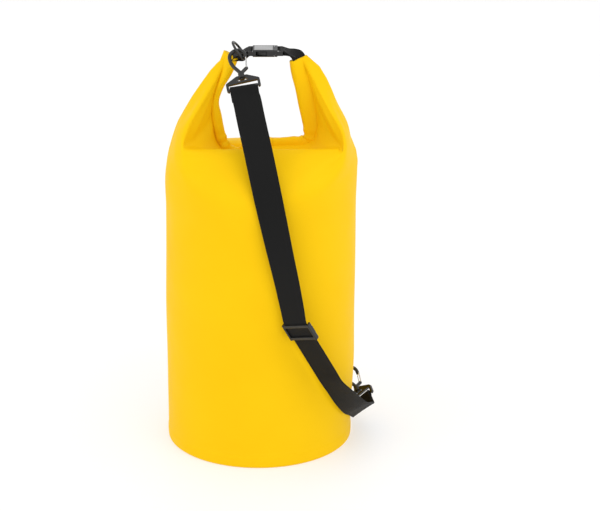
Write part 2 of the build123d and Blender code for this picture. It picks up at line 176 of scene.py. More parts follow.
def swept(name, path, across, profile, material):
    """A profile (across, face) swept along a path; `profile` may differ from point to point."""
    wide, face = frames(path, across)
    profile = np.broadcast_to(profile, (len(path),) + np.shape(profile)[-2:])
    grid = path[:, None] + profile[..., :1] * wide[:, None] + profile[..., 1:] * face[:, None]
    rows, columns = grid.shape[:2]
    steps = np.concatenate([[0], np.cumsum(np.linalg.norm(np.diff(path, axis=0), axis=1))])
    uv = [(float(profile[j, i, 0]), float(steps[j])) for j in range(rows) for i in range(columns)]
    faces = grid_faces(rows, columns, True)
    faces.append(tuple(reversed(range(columns))))
    faces.append(tuple((rows - 1) * columns + i for i in range(columns)))
    return add_mesh(name, grid.reshape(-1, 3), faces, material, uv=uv)


def band_profile(width, thickness):
    """Webbing seen on end: flat, a little thicker at its woven edges, with rounded sides."""
    half, thin, selvage = width / 2, thickness / 2, 0.1 * MM
    side = [(half - 2.2 * MM, thin), (half - 1.4 * MM, thin + selvage), (half - 0.5 * MM, thin + selvage),
            (half - 0.1 * MM, thin * 0.55), (half, 0)]
    left = [(-x, -y) for x, y in side] + [(-x, y) for x, y in reversed(side[:-1])]
    ring = [(-half / 2, thin), (0, thin), (half / 2, thin)] + side
    ring += [(x, -y) for x, y in reversed(side[:-1])] + [(half / 2, -thin), (0, -thin), (-half / 2, -thin)]
    ring += left
    return np.array(ring)[::-1]


# ---- materials -----------------------------------------------------------------------
class Nodes:
    """Builds one node material."""

    def __init__(self, name):
        self.material = bpy.data.materials.new(name)
        self.material.use_nodes = True
        self.tree = self.material.node_tree
        self.shader = self.tree.nodes["Principled BSDF"]

    def add(self, kind, **settings):
        node = self.tree.nodes.new(kind)
        for key, value in settings.items():
            if key in node.inputs:
                node.inputs[key].default_value = value
            else:
                setattr(node, key, value)
        return node

    def link(self, source, target):
        self.tree.links.new(source, target)

    def place(self, kind="Object", scale=(1, 1, 1)):
        coordinates = self.add("ShaderNodeTexCoord")
        mapping = self.add("ShaderNodeMapping", Scale=scale)
        self.link(coordinates.outputs[kind], mapping.inputs["Vector"])
        return mapping.outputs["Vector"]

    def noise(self, scale, detail=3.0, stretch=(1, 1, 1)):
        node = self.add("ShaderNodeTexNoise", Scale=scale, Detail=detail)
        self.link(self.place(scale=stretch), node.inputs["Vector"])
        return node.outputs["Fac"]

    def wave(self, direction, scale, vector):
        node = self.add("ShaderNodeTexWave", bands_direction=direction, Scale=scale)
        self.link(vector, node.inputs["Vector"])
        return node.outputs["Fac"]

    def math(self, operation, a, b):
        node = self.add("ShaderNodeMath", operation=operation)
        for socket, value in zip(node.inputs, (a, b)):
            if isinstance(value, (int, float)):
                socket.default_value = value
            else:
                self.link(value, socket)
        return node.outputs["Value"]

    def ramp(self, value, low, high, start=0.3, end=0.7):
        node = self.add("ShaderNodeValToRGB")
        for element, colour, position in zip(node.color_ramp.elements, (low, high), (start, end)):
            element.color = colour
            element.position = position
        self.link(value, node.inputs["Fac"])
        return node.outputs["Color"]

    def bump(self, height, strength, distance, normal=None):
        node = self.add("ShaderNodeBump", Strength=strength, Distance=distance)
        self.link(height, node.inputs["Height"])
        if normal is not None:
            self.link(normal, node.inputs["Normal"])
        return node.outputs["Normal"]

    def set(self, **values):
        for key, value in values.items():
            socket = self.shader.inputs[key.replace("_", " ")]
            if hasattr(value, "is_linked"):
                self.link(value, socket)
            else:
                socket.default_value = value


def grey(value):
    return (value, value, value, 1)


def tarpaulin(name, low, high):
    """Coated tarpaulin: even colour, a fine grain and faint handling marks."""
    n = Nodes(name)
    normal = n.bump(n.noise(1100.0, 2.0), 0.10, 0.3 * MM)
    normal = n.bump(n.noise(55.0, 3.0), 0.12, 0.8 * MM, normal)
    rough = n.ramp(n.noise(30.0), grey(0.46), grey(0.56))
    n.set(Base_Color=n.ramp(n.noise(8.0), low, high), Normal=normal, Roughness=rough)
    n.set(Specular_IOR_Level=0.05)
    return n.material


def webbing(name, level):
    """Woven polyester: ribs along the band crossed by a finer weft."""
    n = Nodes(name)
    vector = n.place("UV")
    ribs = n.wave("X", 250.0, vector)
    weft = n.wave("Y", 330.0, vector)
    weave = n.math("MULTIPLY", ribs, weft)
    fuzz = n.noise(1500.0, 2.0)
    height = n.math("ADD", weave, n.math("MULTIPLY", fuzz, 0.35))
    colour = n.ramp(weave, grey(level * 0.55), grey(level * 1.5), 0.1, 0.9)
    n.set(Base_Color=colour, Normal=n.bump(height, 0.55, 0.35 * MM), Roughness=0.72)
    n.set(Specular_IOR_Level=0.18, Sheen_Weight=0.03, Sheen_Roughness=0.5)
    return n.material


def plastic(name, level, rough, grain):
    """Moulded plastic: a fine texture and an uneven sheen."""
    n = Nodes(name)
    normal = n.bump(n.noise(1400.0, 2.0), grain, 0.15 * MM)
    roughness = n.ramp(n.noise(160.0), grey(rough - 0.05), grey(rough + 0.07))
    colour = n.ramp(n.noise(45.0), grey(level * 0.9), grey(level * 1.12))
    n.set(Base_Color=colour, Normal=normal, Roughness=roughness)
    return n.material


def metal(name, level, rough, metallic):
    """Drawn or coated metal with fine marks and a thin clear coat."""
    n = Nodes(name)
    marks = n.noise(220.0, 4.0, (1, 1, 0.3))
    roughness = n.ramp(marks, grey(rough - 0.06), grey(rough + 0.12))
    colour = n.ramp(n.noise(90.0), grey(level * 0.85), grey(level * 1.25))
    n.set(Base_Color=colour, Roughness=roughness, Metallic=metallic)
    n.set(Normal=n.bump(n.noise(700.0), 0.05, 0.1 * MM), Coat_Weight=0.15, Coat_Roughness=0.25)
    return n.material


YELLOW = tarpaulin("yellow_tarpaulin", (0.885, 0.528, 0.003, 1), (0.905, 0.555, 0.004, 1))
BLACK = webbing("black_webbing", 0.005)
STIFFENER = plastic("stiffener_strip", 0.05, 0.5, 0.2)
MATERIALS = {
    "tarpaulin": YELLOW,
    "webbing": BLACK,
    "buckle_plastic": plastic("black_acetal", 0.008, 0.40, 0.12),
    # The buckle's broad face: black plastic given a light grey colour, a painted reflection of the softbox
    # above.
    "grey_plastic": plastic("grey_face_painted_reflection", 0.34, 0.45, 0.12),
    "stiffener_plastic": STIFFENER,
    "black_metal": metal("black_coated_metal", 0.009, 0.34, 0.1),
    "gate_wire": metal("spring_steel", 0.62, 0.28, 1.0),
}
THREAD = webbing("black_thread", 0.016)
MOULDED = ("buckle_plastic", "grey_plastic")      # slots whose edges are softened


def dress_cad_nodes():
    """Give every CAD node its finish, and soften the sharp edges of the moulded ones."""
    for part in frame["record"]["subparts"]:
        node = frame["nodes"][part["node"]]
        node.data.materials.clear()
        node.data.materials.append(MATERIALS[part["material_slot"]])
        if part["material_slot"] in MOULDED:
            edge = node.modifiers.new("soft_edges", "BEVEL")
            edge.width = 0.35 * MM
            edge.segments = 2
            edge.limit_method = "ANGLE"
            edge.angle_limit = math.radians(50)
            edge.use_clamp_overlap = True


# ---- the folded top: a cloth relaxation on the bag's own flat pattern ------------------
HALF = math.pi * RADIUS                 # fabric length from one side fold to the other
COLUMNS = 180                           # round the whole tube
TOP_START = 330 * MM                    # fabric height where the relaxed part starts
TOP_END = 560 * MM                      # fabric height where the roll starts
ROWS = 52
CREASE_ROW = 32                         # the row that lies in the front and back creases
BULGE_ROW = 15                          # the row where the round tube starts to flatten
CREASE_LEFT, CREASE_RIGHT = -102 * MM, 121 * MM
FRONT_CREASE = (-62 * MM, RIM)          # y, z of the front crease
BACK_CREASE = (52 * MM, 412 * MM)       # the back sinks lower than the front
ROUND_TOP = 396 * MM                    # height where the round tube starts to flatten
CREASE_END = 8 * MM                     # what is left free at each end of a held crease
SLACK = 1.06                            # cloth between crease and roll, over the straight distance
STEPS = 160                             # steps of the relaxation
THREAD_PULL, SHEAR_PULL = 0.95, 0.3     # how firmly a step restores lengths along and across the threads
RIGHT_FULLNESS, LEFT_HOLLOW = 4.8 * MM, 3.0 * MM

# The line where the fabric runs into the roll, in the X-Z plane.
ROLL_LINE = np.array([
    (-36, 555), (-45.5, 534), (-54.5, 510), (-58.5, 488), (-59.5, 466), (-58, 447), (-53, 430), (-40, 420),
    (-24, 417), (0, 426), (52, 430), (68, 431), (78, 440), (81, 460), (77, 485), (72, 510),
    (66, 532), (58, 553),
]) * MM
# The folds at the two sides, from the round tube up to the tips of the ears.
RIGHT_FOLD = np.array([
    (134.8, 330), (135.5, 385), (137, 404), (134.5, 420), (128, 437), (119, 453), (112.5, 471),
    (108, 487), (101.5, 504), (94, 521), (84, 538), (66, 554),
]) * MM
LEFT_FOLD = np.array([
    (-128, 330), (-125, 396), (-121.5, 412), (-117.5, 437), (-112.5, 452), (-108.5, 462),
    (-99, 479), (-89, 496), (-77.5, 513), (-64, 532), (-55, 542), (-40, 556),
]) * MM


def at_distance(points, distance):
    """Points at the given distances along a polyline in the X-Z plane."""
    steps = np.linalg.norm(np.diff(points, axis=0), axis=1)
    reach = np.concatenate([[0], np.cumsum(steps)])
    return np.stack([np.interp(distance, reach, points[:, k]) for k in (0, 1)], axis=-1)


def smoothstep(share):
    share = np.clip(share, 0.0, 1.0)
    return share ** 2 * (3 - 2 * share)


def wall_ring(angle, height):
    """One level of the round wall: fuller on the right, drawn in a little at the upper left."""
    right = np.clip(-np.cos(angle), 0, 1) ** 1.5
    left = np.clip(np.cos(angle), 0, 1) ** 1.5
    radius = RADIUS + RIGHT_FULLNESS * right * smoothstep((height - 20 * MM) / (110 * MM))
    radius = radius - LEFT_HOLLOW * left * smoothstep((height - 180 * MM) / (190 * MM))
    return np.stack([-radius * np.cos(angle), -radius * np.sin(angle), np.full(len(angle), height)], -1)


def start_shape():
    """A first guess at the folded top, the mask of points held still, and each column's cloth per row."""
    angle = 2 * np.pi * np.arange(COLUMNS) / COLUMNS
    back = angle > np.pi
    arc = np.where(back, 2 * np.pi - angle, angle) * RADIUS   # fabric distance from the left fold
    side = np.where(back, 1.0, -1.0)
    folds = {}
    for name, fold in (("left", LEFT_FOLD), ("right", RIGHT_FOLD)):
        folds[name] = at_distance(fold, np.linspace(0, path_length(fold), ROWS))

    crease_x = arc - HALF / 2 + (CREASE_LEFT + CREASE_RIGHT) / 2
    on_crease = (crease_x > CREASE_LEFT) & (crease_x < CREASE_RIGHT)
    side_reach = HALF / 2 - (CREASE_RIGHT - CREASE_LEFT) / 2
    crease_y = np.where(back, BACK_CREASE[0], FRONT_CREASE[0])
    crease_z = np.where(back, BACK_CREASE[1], FRONT_CREASE[1])
    crease = np.stack([crease_x, crease_y, crease_z], -1)
    for i in np.flatnonzero(~on_crease):
        left = crease_x[i] < 0
        fold, corner = (folds["left"], CREASE_LEFT) if left else (folds["right"], CREASE_RIGHT)
        end = fold[CREASE_ROW]
        beyond = arc[i] if left else HALF - arc[i]
        swing = np.pi / 2 * (1 - beyond / side_reach)
        crease[i, 0] = corner + (end[0] - corner) * (1 - np.cos(swing))
        crease[i, 1] = crease_y[i] * np.cos(swing)
        crease[i, 2] = crease_z[i] + (end[1] - crease_z[i]) * np.sin(swing)
    roll = at_distance(ROLL_LINE, arc * path_length(ROLL_LINE) / HALF)
    tuck = 4.5 * MM * np.sin(np.pi * arc / HALF) ** 0.3
    top = np.stack([roll[:, 0], side * tuck, roll[:, 1]], -1)

    grid = np.zeros((ROWS, COLUMNS, 3))
    for j in range(CREASE_ROW + 1):
        base = wall_ring(angle, TOP_START + (ROUND_TOP - TOP_START) * min(1, j / BULGE_ROW))
        grid[j] = base + (crease - base) * max(0.0, (j - BULGE_ROW) / (CREASE_ROW - BULGE_ROW))
    for j in range(CREASE_ROW + 1, ROWS):
        share = (j - CREASE_ROW) / (ROWS - 1 - CREASE_ROW)
        dip = 8 * MM * 4 * share * (1 - share) * np.sin(np.pi * arc / HALF) ** 4
        grid[j] = crease + (top - crease) * share
        grid[j, :, 2] -= dip
    free_rows = ROWS - 1 - CREASE_ROW
    slack = np.linalg.norm(top - crease, axis=1) * SLACK / free_rows
    held = np.zeros((ROWS, COLUMNS), bool)
    held[:2] = True
    held[-1] = True
    held[CREASE_ROW, (crease_x > CREASE_LEFT + CREASE_END) & (crease_x < CREASE_RIGHT - CREASE_END)] = True
    for column, fold in ((0, folds["left"]), (COLUMNS // 2, folds["right"])):
        grid[:, column] = np.stack([fold[:, 0], np.zeros(ROWS), fold[:, 1]], -1)
        held[:, column] = True
    return grid, held, slack


def pull(a, b, free_a, free_b, length, stiffness):
    """Move two sets of points towards their distance in the flat cloth."""
    gap = b - a
    distance = np.linalg.norm(gap, axis=-1, keepdims=True)
    weight = np.maximum(free_a + free_b, 1e-9)[..., None]
    shift = stiffness * (distance - length) / np.maximum(distance, 1e-9) * gap / weight
    return a + shift * free_a[..., None], b - shift * free_b[..., None]


def relax(grid, held, slack):
    """Cloth relaxation: threads both ways, shear, bending, weight and the two sheets kept apart.

    `slack` is each column's length of cloth from row to row above the crease; the rest is rolled in.
    """
    free = (~held).astype(float)
    wide = 2 * HALF / COLUMNS
    tall = np.full((ROWS - 1, COLUMNS, 1), (TOP_END - TOP_START) / (ROWS - 1))
    tall[CREASE_ROW:, :, 0] = np.minimum(tall[CREASE_ROW:, :, 0], slack)
    slant = np.hypot(wide, tall)
    half = COLUMNS // 2
    side = np.where(np.arange(COLUMNS) < half, -1.0, 1.0)
    loose = free.copy()
    loose[:, [0, half]] = 0
    apart = 1.5 * MM
    push = np.full((ROWS, 1, 1), 0.004 * MM)
    push[:CREASE_ROW] = 0.03 * MM
    for step in range(STEPS):
        early = max(0.0, 1 - 1.5 * step / STEPS)
        grid = grid + grid_normals(grid, True) * push * free[..., None]
        grid[CREASE_ROW:, :, 2] -= 0.05 * MM * free[CREASE_ROW:]
        for start in (0, 1):
            left = np.arange(start, COLUMNS, 2)
            right = (left + 1) % COLUMNS
            low = np.arange(start, ROWS - 1, 2)
            high = low + 1
            grid[:, left], grid[:, right] = pull(
                grid[:, left], grid[:, right], free[:, left], free[:, right], wide, THREAD_PULL)
            grid[low], grid[high] = pull(
                grid[low], grid[high], free[low], free[high], tall[low], THREAD_PULL)
            for turn in (1, -1):
                lower, upper = pull(
                    grid[low], np.roll(grid[high], -turn, 1),
                    free[low], np.roll(free[high], -turn, 1), slant[low], SHEAR_PULL)
                grid[low], grid[high] = lower, np.roll(upper, turn, 1)
        mean = (grid[2:] + grid[:-2] + np.roll(grid, 1, 1)[1:-1] + np.roll(grid, -1, 1)[1:-1]) / 4
        bend = (0.14 + 0.2 * early) * free[1:-1, :, None]
        grid[1:-1] += (mean - grid[1:-1]) * bend
        crossed = (grid[..., 1] * side < apart) & (loose > 0)
        grid[..., 1] = np.where(crossed, apart * side, grid[..., 1])
    return ironed(grid, free)


def ironed(grid, free):
    """Take out what is too fine for a coated cloth, and meet the round tube smoothly."""
    for _ in range(14):
        mean = (grid[2:] + grid[:-2] + np.roll(grid, 1, 1)[1:-1] + np.roll(grid, -1, 1)[1:-1]) / 4
        grid[1:-1] += (mean - grid[1:-1]) * 0.5 * free[1:-1, :, None]
    angle = 2 * np.pi * np.arange(COLUMNS) / COLUMNS
    tall = (TOP_END - TOP_START) / (ROWS - 1)
    for j in range(BULGE_ROW):
        tube = wall_ring(angle, TOP_START + j * tall)
        grid[j] = tube + (grid[j] - tube) * smoothstep(j / BULGE_ROW)
    return grid


def refine(grid):
    """Twice as many rows and columns on a smooth surface through the same points."""
    before, after = np.roll(grid, 1, 1), np.roll(grid, -1, 1)
    middle = (9 * (grid + after) - before - np.roll(grid, -2, 1)) / 16
    wide = np.stack([grid, middle], 2).reshape(len(grid), -1, 3)
    padded = np.concatenate([2 * wide[:1] - wide[1:2], wide, 2 * wide[-1:] - wide[-2:-1]])
    middle = (9 * (padded[1:-2] + padded[2:-1]) - padded[:-3] - padded[3:]) / 16
    tall = np.empty((2 * len(wide) - 1,) + wide.shape[1:])
    tall[0::2] = wide
    tall[1::2] = middle
    return tall


def tube_rows(columns):
    """The round tube below the folded part: a rolled base edge, then a wall that gives a little."""
    angle = 2 * np.pi * np.arange(columns) / columns
    heights = [0.0, 0.4, 1.4, 3.0, 8.0, 14.5, 16.5, 19.0] + list(range(30, 330, 12))
    insets = [4.0, 1.8, 0.6, 0.2, 0.0, 0.0, 0.5, 0.7]
    rows = []
    for k, height in enumerate(heights):
        inset = insets[k] if k < len(insets) else 0.7
        level = height / 330
        settle = 0.9 * math.sin(math.pi * level) ** 2
        give = settle * (0.5 * np.sin(3 * angle + 5 * level) + 0.5 * np.sin(5 * angle - 9 * level + 1))
        fade = min(1, (330 - height) / 200)
        outward = np.stack([-np.cos(angle), -np.sin(angle), np.zeros(columns)], -1)
        rows.append(wall_ring(angle, height * MM) + outward * ((give - inset * fade) * MM)[:, None])
    return np.array(rows)


def fabric():
    """The whole bag wall as one grid, and the row of its creases."""
    top = refine(relax(*start_shape()))
    tube = tube_rows(top.shape[1])
    return np.concatenate([tube, top]), len(tube) + 2 * CREASE_ROW


def make_bag():
    """The wall up to its creases, and the fabric above them in a left and a right piece."""
    grid, crease = fabric()
    normals = grid_normals(grid, True)
    wall = sheet("bag_wall", grid[:crease + 1], normals[:crease + 1], True, WALL, YELLOW)
    stand_for(wall, "bag", "tarpaulin", "bag_tube", "base_weld_lap", "left_roll_bend")

    columns = grid.shape[1]
    from_left = ARM_SPLIT - (CREASE_LEFT + CREASE_RIGHT) / 2 + HALF / 2
    split = round(from_left / RADIUS * columns / (2 * math.pi))
    left = np.roll(np.arange(columns), split)[:2 * split + 1]
    right = np.arange(split, columns - split + 1)
    for ear, picked, place in (("left_ear", left, "bag"), ("right_ear", right, ARM_BEND)):
        piece = sheet(ear + "_fabric", grid[crease:, picked], normals[crease:, picked], False, WALL, YELLOW)
        stand_for(piece, place, "tarpaulin", ear)
    return grid, normals, crease


# ---- base, seam tape and anchor patch ------------------------------------------------
def make_base():
    """The round base panel: one sheet, a little domed, with its edge turned up inside the tube."""
    columns = 180
    angle = 2 * np.pi * np.arange(columns) / columns
    rings = [(0.0, 3.4), (30.0, 3.2), (60.0, 2.8), (90.0, 2.2), (112.0, 1.4), (122.0, 0.8), (127.0, 0.9),
             (128.4, 2.2), (128.6, 5.0), (128.4, 18.0)]
    rows = []
    for reach, height in reversed(rings):
        reach = max(reach, 0.5)
        rows.append(np.stack([-reach * MM * np.cos(angle), -reach * MM * np.sin(angle),
                              np.full(columns, height * MM)], -1))
    grid = np.array(rows)
    base = sheet("base_panel", grid, grid_normals(grid, True), True, -0.8 * MM, YELLOW)
    stand_for(base, "bag", "tarpaulin", "base_disc")


def make_seam_tape(grid, normals, crease):
    """The welded tape over the back seam, lying on the wall to just below the back crease."""
    columns = grid.shape[1]
    middle = columns * 3 // 4
    picked = np.arange(middle - 6, middle + 7)
    rows = slice(4, crease - 7)
    lift = np.interp(np.arange(13), [0, 1, 11, 12], [0.1, 0.6, 0.6, 0.1])[None, :, None] * MM
    surface = grid[rows][:, picked] + normals[rows][:, picked] * lift
    tape = sheet("back_seam_weld", surface, grid_normals(surface, False), False, 0.9 * MM, YELLOW)
    stand_for(tape, "bag", "tarpaulin", "back_seam_tape")


# ---- rolled mouth --------------------------------------------------------------------
# x, z of the roll's centre line, its width and thickness, and the turn of its width out of
# the X-Z plane in degrees (90 is edge on to the front).
ROLL = np.array([
    (-36, 554, 28, 10, 52), (-44, 533, 27.5, 12, 60), (-52, 511, 25, 10, 84), (-57.5, 490, 25, 9, 90),
    (-57, 470, 26, 13, 84), (-55, 449, 27, 15, 72), (-50, 431, 26, 15, 66), (-41, 420, 25, 14, 72),
    (-27, 415, 25, 14, 74), (-12, 419, 26, 13, 36), (3, 422.5, 27, 12, 8), (24, 422.5, 27, 12, 0),
    (48, 424.5, 27, 13, 0), (64, 427, 25, 14, 0), (73.5, 434, 24, 14, 0), (75, 447, 25, 14, 2),
    (73.5, 462, 26, 13, 4), (69, 485, 27, 12, 6), (63.5, 510, 26, 12, 12), (58.5, 532, 27, 11, 30),
    (55.5, 549, 28, 10, 44),
])
BENDS = np.array([(-48, 427), (72, 432)]) * MM      # where the roll turns up, and puckers
PUCKER_REACH = 13 * MM
SADDLE_TOP = 450 * MM                               # below it the roll is the saddle between the arms


def roll_profile(width, thickness):
    """The rolled mouth on end: flat layers wound round the stiffener, the last one showing a step."""
    ring = []
    for k in range(40):
        turn = 2 * math.pi * k / 40
        x = math.copysign(abs(math.cos(turn)) ** 0.45, math.cos(turn)) * width / 2
        y = math.copysign(abs(math.sin(turn)) ** 0.75, math.sin(turn)) * thickness / 2
        ripple = 0.35 * MM * math.sin(9 * turn) * abs(math.cos(turn)) ** 4
        step = 0.8 * MM if y < 0 and x > width * 0.18 else 0.0
        ring.append((x + ripple * math.copysign(1, x), y - step))
    return np.array(ring)


def roll_path():
    """The roll's centre line, its width direction and its sections, left end to right end."""
    path = smooth_path(ROLL * (MM, MM, MM, MM, 1), 221, 2)
    centre = np.stack([path[:, 0], np.zeros(len(path)), path[:, 1]], -1)
    along = unit(np.gradient(centre, axis=0))
    inward = np.stack([-along[:, 2], np.zeros(len(path)), along[:, 0]], -1)
    turn = np.radians(path[:, 4])[:, None]
    across = inward * np.cos(turn) + np.array((0, -1.0, 0)) * np.sin(turn)
    sections = np.array([roll_profile(w, t) for w, t in path[:, 2:4]])
    wander = np.arange(len(path))[:, None] / 7.0
    sections[..., 1] *= 1 + 0.05 * np.sin(wander + sections[..., 0] * 160)
    for bend in BENDS:
        near = np.exp(-np.sum((centre[:, (0, 2)] - bend) ** 2, axis=1) / (2 * PUCKER_REACH ** 2))
        folds = near * np.sin(np.arange(len(path)) * 0.75)
        sections *= 1 + 0.09 * folds[:, None, None]
    return centre, across, sections


def make_roll():
    """The rolled mouth and the stiffener strip inside it, each split where the right arm bends."""
    centre, across, sections = roll_path()
    in_saddle = centre[:, 2] < SADDLE_TOP
    split = int(np.argmin(np.where(in_saddle, np.abs(centre[:, 0] - ARM_SPLIT), np.inf)))
    strip = np.array([(9, 0.4), (-9, 0.4), (-9, -0.4), (9, -0.4)]) * MM
    left, right = slice(0, split + 1), slice(split, None)
    pieces = (
        ("left_roll", left, sections[left], YELLOW, "tarpaulin", ("left_roll_arm", "middle_roll")),
        ("right_roll", right, sections[right], YELLOW, "tarpaulin", ("right_roll_arm", "right_roll_bend")),
        ("left_stiffener", slice(4, split + 1), strip, STIFFENER, "stiffener_plastic",
         ("middle_roll_stiffener", "left_roll_arm_stiffener")),
        ("right_stiffener", slice(split, -4), strip, STIFFENER, "stiffener_plastic",
         ("right_roll_arm_stiffener",)),
    )
    for name, rows, profile, material, slot, nodes in pieces:
        piece = swept(name, centre[rows], across[rows], profile, material)
        stand_for(piece, "bag" if name.startswith("left") else ARM_BEND, slot, *nodes)


# ---- webbing -------------------------------------------------------------------------
# Millimetres: the bars of the buckle, and how far the middle of the webbing runs round each bar.
BUCKLE_Z = 559.0
SOCKET_BAR_X = -10.2
PLUG_BAR_X = 32.6
TAB_WRAP, STRAP_WRAP, ANCHOR_WRAP = 2.75, 2.85, 2.5


def round_bar(x, z, start, end):
    """Points of a tab's wrap round a bar in the X-Z plane, from one angle to another in degrees."""
    turn = np.radians(np.linspace(start, end, 9))
    return [(x + TAB_WRAP * math.cos(a), z + TAB_WRAP * math.sin(a)) for a in turn]


def tab_band(name, entry, loop):
    """A tab: it leaves the roll with its width turned like the roll's, then lies flat in the buckle.

    `entry` holds x, z in millimetres and the turn of the width out of the Y axis; `loop` holds x, z.
    """
    points = np.array([(x, z, turn) for x, z, turn in entry] + [(x, z, 0) for x, z in loop], float)
    line = smooth_path(points * (MM, MM, 1), 160, 2)
    path = np.stack([line[:, 0], np.zeros(len(line)), line[:, 1]], -1)
    turn = np.radians(line[:, 2])
    along = unit(np.gradient(path, axis=0))
    sideways = np.stack([-along[:, 2], np.zeros(len(path)), along[:, 0]], -1)
    across = sideways * np.sin(turn)[:, None] + np.array((0, -1.0, 0)) * np.cos(turn)[:, None]
    return swept(name, path, across, band_profile(TAB_WIDTH, 1.3 * MM), BLACK)


def make_tabs():
    """The webbing tabs at the two tips of the roll, each wrapped round its bar of the buckle."""
    upper = [(-41, 541, -34), (-40, 547, -26), (-36, 551, -14), (-31, 553.4, -4)]
    loop = [(-25, 555.2), (-21, 556.3), (-15, 560.0)] + round_bar(SOCKET_BAR_X, BUCKLE_Z, 100, -80)
    loop += [(-13.5, 553.6), (-18.4, 549.2), (-25, 549.0), (-30, 548.8), (-34, 548.6)]
    tab = tab_band("left_tab", upper, loop)
    stand_for(tab, "bag", "webbing", "left_tab_webbing")

    upper = [(57.8, 543, 44), (57.0, 547, 42), (54.5, 551.5, 36), (49, 555.2, 20), (43, 557.8, 6)]
    loop = [(37, 560.8)] + round_bar(PLUG_BAR_X, BUCKLE_Z, 80, 280)
    loop += [(38, 556.4), (44, 555.4), (51, 552.6)]
    tab = tab_band("right_tab", upper, loop)
    stand_for(tab, "right_arm", "webbing", "right_tab_webbing")


# The strap's centre line in millimetres with its width direction, from the top bar to the lower bar.
STRAP = np.array([
    (-17.2, -52.9, 522.7, 0.97, 0.14, 0.12),
    (-12.4, -66, 506.5, 0.975, 0.05, 0.194),
    (-7.3, -82, 486.5, 0.975, 0.05, 0.194),
    (1.6, -104, 452.5, 0.975, 0.05, 0.194),
    (8.1, -122, 427, 0.98, 0.0, 0.2),
    (14.7, -134, 398, 0.97, -0.08, 0.2),
    (30.2, -147, 326.7, 0.93, -0.34, 0.20),
    (40.6, -148, 277.6, 0.87, -0.45, 0.21),
    (46.9, -148.5, 244.9, 0.83, -0.51, 0.23),
    (51.2, -148, 222.4, 0.788, -0.562, 0.253),
    (60.1, -143.3, 205.1, 0.788, -0.562, 0.253),
    (75.7, -135.1, 174.9, 0.788, -0.562, 0.253),
    (91.2, -126.9, 144.6, 0.788, -0.562, 0.253),
    (100.6, -122, 126.4, 0.788, -0.562, 0.253),
    (113.1, -111, 106.8, 0.85, -0.42, 0.31),
    (124.4, -93, 85.6, 0.88, -0.26, 0.40),
    (134.9, -70, 65.7, 0.87, -0.15, 0.48),
    (142.2, -42.6, 52.2, 0.82, -0.12, 0.56),
    (146.6, -17.4, 39.6, 0.78, -0.12, 0.60),
    (148, 4, 31, 0.75, -0.12, 0.64),
    (147.8, 17.2, 30.3, 0.69, -0.18, 0.70),
    (144.1, 26.8, 36.3, 0.69, -0.18, 0.70),
]) * (MM, MM, MM, 1, 1, 1)


def bar_wrap(bar, onward, across, side, tail):
    """Webbing from its run, once round a frame's bar and back along the run for `tail`.

    `side` picks which face of the run the tail lies on.
    """
    across = unit(across)
    down = unit(onward - bar - across * np.dot(onward - bar, across))
    face = np.cross(across, down) * side
    turn = np.radians(np.linspace(90, 270, 9))
    around = [(STRAP_WRAP * math.cos(a), STRAP_WRAP * math.sin(a)) for a in turn]
    local = [(12, 0.0), (7, 1.0), (3, 2.4)] + around + [(3, -2.7), (8, -2.1), (13, -1.8), (13 + tail, -1.8)]
    return np.array([np.concatenate([bar + (down * d + face * f) * MM, across]) for d, f in local])


STRAIGHT_TOP = 9           # the row of STRAP where its straight run starts
SLIDER_DROP = 15 * MM      # from there to the slider's middle


def make_strap():
    """The shoulder strap: one run of webbing, wrapped round the bar of a swivel frame at each end."""
    upper = bar_wrap(STRAP[0, :3], STRAP[1, :3], STRAP[0, 3:], -1, 5)
    lower = bar_wrap(STRAP[-1, :3], STRAP[-2, :3], STRAP[-1, 3:], 1, 4)
    run = smooth_path(np.concatenate([upper[::-1], STRAP[1:-2], lower]), 620)
    profile = band_profile(STRAP_WIDTH, 1.6 * MM)
    strap = swept("shoulder_strap_webbing", run[:, :3], run[:, 3:], profile, BLACK)
    stand_for(strap, "strap", "webbing", "shoulder_strap")


def make_slider_fold():
    """The strap's free end, folded over behind the slider's middle bar."""
    start, across = STRAP[STRAIGHT_TOP, :3], unit(STRAP[STRAIGHT_TOP, 3:])
    down = unit(STRAP[STRAIGHT_TOP + 1, :3] - start)
    across = unit(across - down * np.dot(across, down))
    face = np.cross(down, across)
    middle = start + down * SLIDER_DROP
    local = [(12, -4.4), (6, -4.4), (0, -4.4), (-3, -4.5), (-4.2, -5.2), (-3, -6.1), (2, -6.2), (7, -6.1)]
    points = np.array([middle + (down * d + face * f) * MM for d, f in local])
    path = smooth_path(points, 60)
    widths = np.tile(across, (len(path), 1))
    fold = swept("slider_fold", path, widths, band_profile(STRAP_WIDTH, 1.5 * MM), BLACK)
    stand_for(fold, "slider", "webbing", "slider_webbing_end")


# ---- anchor for the lower D-ring -------------------------------------------------------
RING_ANGLE = 36.2         # degrees round the bag, from its right towards its back
RING_REACH = 134.8 * MM   # distance of the ring's bar from the bag's axis
ANCHOR_MIDDLE = 64 * MM   # height of the ring's middle


def on_wall(degrees, lift, height):
    """A point over the outside of the wall."""
    angle = math.radians(degrees)
    x, y, z = wall_ring(np.array([math.pi + angle]), height)[0]
    return np.array([x + lift * math.cos(angle), y + lift * math.sin(angle), z])


